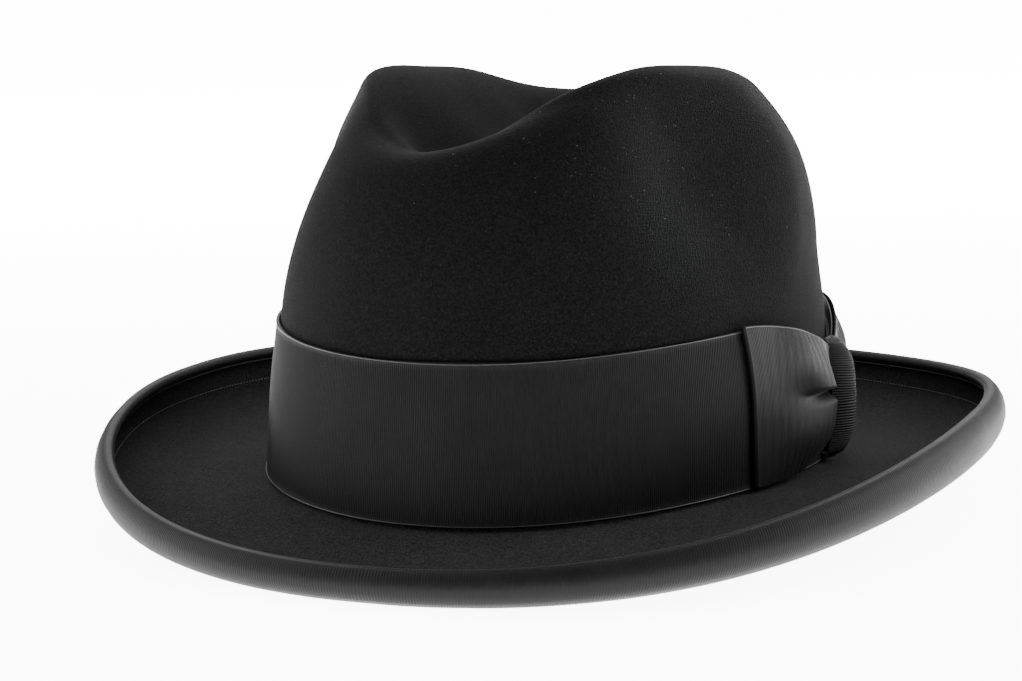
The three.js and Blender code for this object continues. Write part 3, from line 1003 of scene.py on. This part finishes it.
def make_world(strength):
    world = bpy.data.worlds.new("light_tent")
    world.use_nodes = True
    background = world.node_tree.nodes["Background"]
    background.inputs["Color"].default_value = (1.0, 1.0, 1.0, 1.0)
    background.inputs["Strength"].default_value = strength
    bpy.context.scene.world = world


def from_hat(azimuth, elevation):
    """The direction from the hat to an azimuth and an elevation: azimuth 0 is in front of the hat."""
    a, e = azimuth * DEG, elevation * DEG
    return Vector((math.sin(a) * math.cos(e), -math.cos(a) * math.cos(e), math.sin(e)))


def panel(name, azimuth, elevation, distance, width, height, power_watts):
    """A soft light panel that faces the hat."""
    light = bpy.data.lights.new(name, "AREA")
    light.shape = "RECTANGLE"
    light.size = width
    light.size_y = height
    light.energy = power_watts
    lamp = in_scene(name, light)
    back = from_hat(azimuth, elevation)
    lamp.location = HAT_MIDDLE + back * distance
    lamp.rotation_mode = "QUATERNION"
    lamp.rotation_quaternion = (-back).to_track_quat("-Z", "Y")


CAMERA_PLACE = (318.0, -777.24, 188.46)
CAMERA_AZIMUTH = 23.257
CAMERA_ELEVATION = 9.333
CAMERA_ROLL = -1.244
CAMERA_LENS = 92.42
CAMERA_SENSOR = 36.0


def make_camera():
    data = bpy.data.cameras.new("camera")
    data.lens = CAMERA_LENS
    data.sensor_width = CAMERA_SENSOR
    camera = in_scene("camera", data)
    back = from_hat(CAMERA_AZIMUTH, CAMERA_ELEVATION)
    a, r = CAMERA_AZIMUTH * DEG, CAMERA_ROLL * DEG
    level = Vector((math.cos(a), math.sin(a), 0))
    upright = back.cross(level)
    right = level * math.cos(r) + upright * math.sin(r)
    up = upright * math.cos(r) - level * math.sin(r)
    turn = Matrix((right, up, back)).transposed()
    camera.matrix_world = Matrix.Translation(Vector(CAMERA_PLACE) * MM) @ turn.to_4x4()
    bpy.context.scene.camera = camera


make_camera()
felt = fur_felt()
ribbon = grosgrain("grosgrain_ribbon", light=0.0021)
pale_thread = sewing_thread("pale_thread", dark=0.04, light=0.12)
# The selvedge cords stand out for real, and their grey, paler than the ribbon's, is a painted highlight for
# the light they catch.
selvedge_painted_highlight = sewing_thread("selvedge_painted_highlight", dark=0.005, light=0.014)
make_hood(felt)
make_band(ribbon)
make_binding(ribbon)
make_leaf(
    "bow_front_leaf_ribbed", ribbon, selvedge_painted_highlight, side=-1, length=60.0, cocked=0.0,
    puff=4.6, crest=0.66, tucked=0.0, node="bow_front_leaf",
)
make_leaf(
    "bow_back_leaf_ribbed", ribbon, selvedge_painted_highlight, side=1, length=46.0, cocked=3.0,
    puff=5.8, crest=0.72, tucked=0.9, node="bow_back_leaf",
)
make_knot(ribbon)
seam = round_the_brim(STITCH_PITCH)
make_stitches(
    "brim_seam_stitches", pale_thread, "grosgrain_ribbon", seam, on_brim_seam,
    length=1.05, thickness=0.36,
)
make_stitches(
    "binding_seam_stitches", pale_thread, "grosgrain_ribbon", seam, on_binding_seam,
    length=0.9, thickness=0.34,
)
lint = sewing_thread("lint", dark=0.015, light=0.09)
make_lint(lint, LINT_COUNT, LINT_SEED)
make_cord("band_edge_selvedge", selvedge_painted_highlight, BAND_CORD_STEPS, on_band_edge)
make_cord("band_foot_selvedge", selvedge_painted_highlight, BAND_CORD_STEPS, on_band_foot)
make_cord("binding_selvedge", selvedge_painted_highlight, BINDING_CORD_STEPS, on_binding_edge)
make_cord("binding_inner_selvedge", selvedge_painted_highlight, BINDING_CORD_STEPS, on_binding_inner_edge)
make_floor()
make_world(strength=1.0)
panel("left_panel", azimuth=-75, elevation=25, distance=1.6, width=1.6, height=1.4, power_watts=48)
panel("right_panel", azimuth=115, elevation=25, distance=1.6, width=1.6, height=1.4, power_watts=80)
panel("back_panel", azimuth=200, elevation=45, distance=1.8, width=1.8, height=1.4, power_watts=60)
